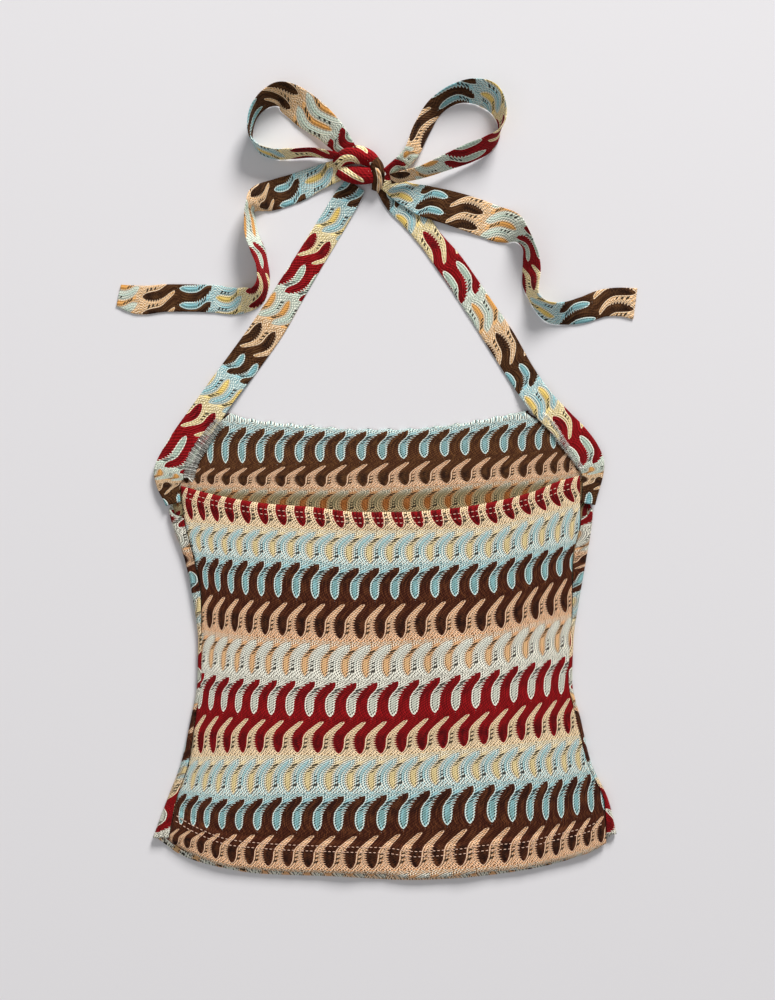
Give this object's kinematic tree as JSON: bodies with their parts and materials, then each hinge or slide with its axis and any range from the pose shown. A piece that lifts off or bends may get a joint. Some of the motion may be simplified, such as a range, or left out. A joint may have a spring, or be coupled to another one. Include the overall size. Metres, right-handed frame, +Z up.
{
  "type": "halter top",
  "caption": "Women's halter top in rippled striped knit, lying flat with its long neck ties knotted in a bow.",
  "frame": {"origin": "on the surface the garment lies on, below the middle of its whole outline", "axes": "+X to the right as seen from above, +Y from the hem to the bow, +Z up out of the cloth"},
  "size_m": [0.4169, 0.6378, 0.0201],
  "materials": {
    "back_knit": "matt rippled knit, six colour stripe",
    "front_knit": "matt rippled knit, six colour stripe",
    "lining_knit": "matt rippled knit, six colour stripe",
    "tie_knit": "matt rippled knit, doubled band",
    "bow_knit": "matt rippled knit, doubled band"
  },
  "bodies": {
    "root": {"front_outer": "front_knit", "front_lining": "lining_knit", "back_panel": "back_knit", "tie_left": "tie_knit", "tie_right": "tie_knit", "bow_knot": "bow_knit", "loop_left": "bow_knit", "loop_right": "bow_knit", "tail_left": "bow_knit", "tail_right": "bow_knit"}
  },
  "joints": []
}
